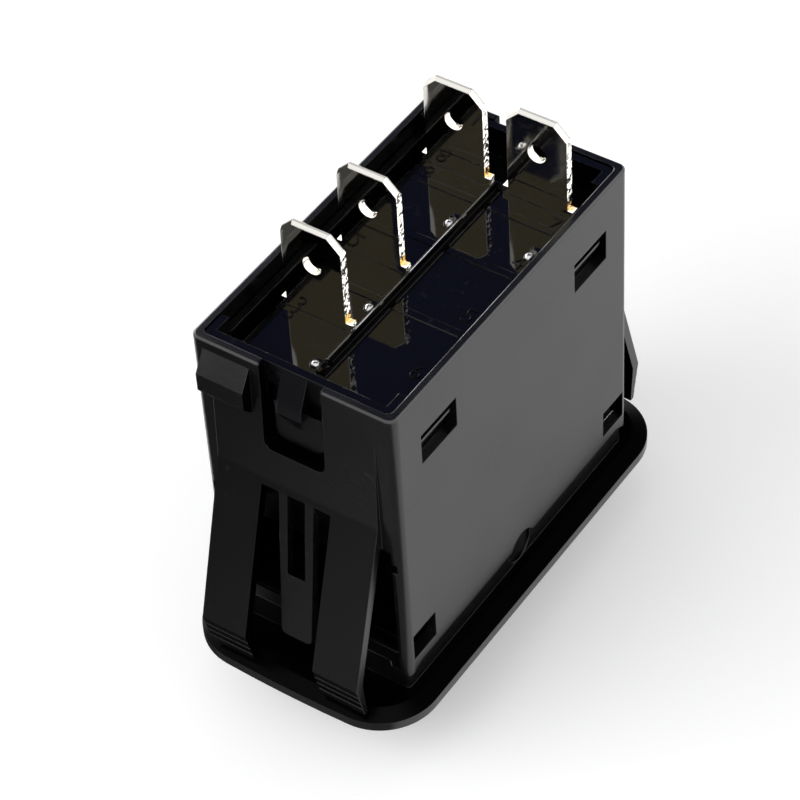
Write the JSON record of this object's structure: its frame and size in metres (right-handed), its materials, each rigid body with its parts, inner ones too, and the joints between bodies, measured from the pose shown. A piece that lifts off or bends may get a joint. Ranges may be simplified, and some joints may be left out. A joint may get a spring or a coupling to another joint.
{
  "type": "dashboard switch",
  "caption": "Panel rocker switch for a dashboard, terminal side up: black snap-in sleeve with spring arms, bezel flange, lit rocker and quick-connect blades.",
  "frame": {"origin": "centre of the panel cut-out in the plane of the bezel flange's back face", "axes": "+X along the long side towards the pair of lamp terminals, +Y towards the contact terminals, +Z from the bezel to the terminal tips"},
  "size_m": [0.0486, 0.025, 0.0498],
  "materials": {
    "housing_plastic": "moulded, satin gloss",
    "base_plastic": "moulded, polished floor",
    "cover_plastic": "moulded",
    "terminal_metal": "bright plated",
    "contact_silver": "polished",
    "saddle_brass": "stamped",
    "contact_copper": "stamped copper alloy",
    "strip_brass": "stamped",
    "rocker_plastic": "fine moulded grain",
    "lens_green": "clear tinted",
    "lens_red": "clear tinted",
    "plunger_plastic": "low friction plastic",
    "spring_steel": "bright wire",
    "lamp_green": "clear tinted epoxy",
    "lamp_red": "clear tinted epoxy",
    "resistor_coat": "lacquered",
    "seal_rubber": "soft"
  },
  "bodies": {
    "switch_body": {"housing": "housing_plastic", "terminal_base": "base_plastic", "terminal_3": "terminal_metal", "terminal_2": "terminal_metal", "terminal_8": "terminal_metal", "terminal_7": "terminal_metal", "fixed_contact": "contact_silver", "contact_saddle": "saddle_brass", "chamber_cover": "cover_plastic", "lamp_on": "lamp_green", "lamp_off": "lamp_red", "resistor_on": "resistor_coat", "resistor_off": "resistor_coat", "lamp_strip": "strip_brass", "base_seal": "seal_rubber"},
    "rocker": {"rocker_button": "rocker_plastic", "rocker_lens_on": "lens_green", "rocker_lens_off": "lens_red", "plunger_spring": "spring_steel"},
    "contact": {"moving_contact": "contact_copper", "moving_contact_tip": "contact_silver"},
    "plunger": {"plunger": "plunger_plastic"}
  },
  "joints": [
    {"name": "rocker_hinge", "type": "hinge", "parent": "switch_body", "child": "rocker", "pos_m": [0, 0, 0.002], "axis": [0, -1, 0], "range_deg": [0, 20]},
    {"name": "contact_hinge", "type": "hinge", "parent": "switch_body", "child": "contact", "pos_m": [0, 0.0044, 0.027], "axis": [0, 1, 0], "range_deg": [0, 10]},
    {"name": "plunger_slide", "type": "slide", "parent": "rocker", "child": "plunger", "axis": [-0.1736, 0, -0.9848], "range_m": [0, 0.001], "stiffness_N_per_m": 400, "springref_m": -0.002, "deforming": ["plunger_spring"]}
  ],
  "couplings": [
    {"joint": "contact_hinge", "follows": "rocker_hinge", "ratio": 0.5}
  ]
}
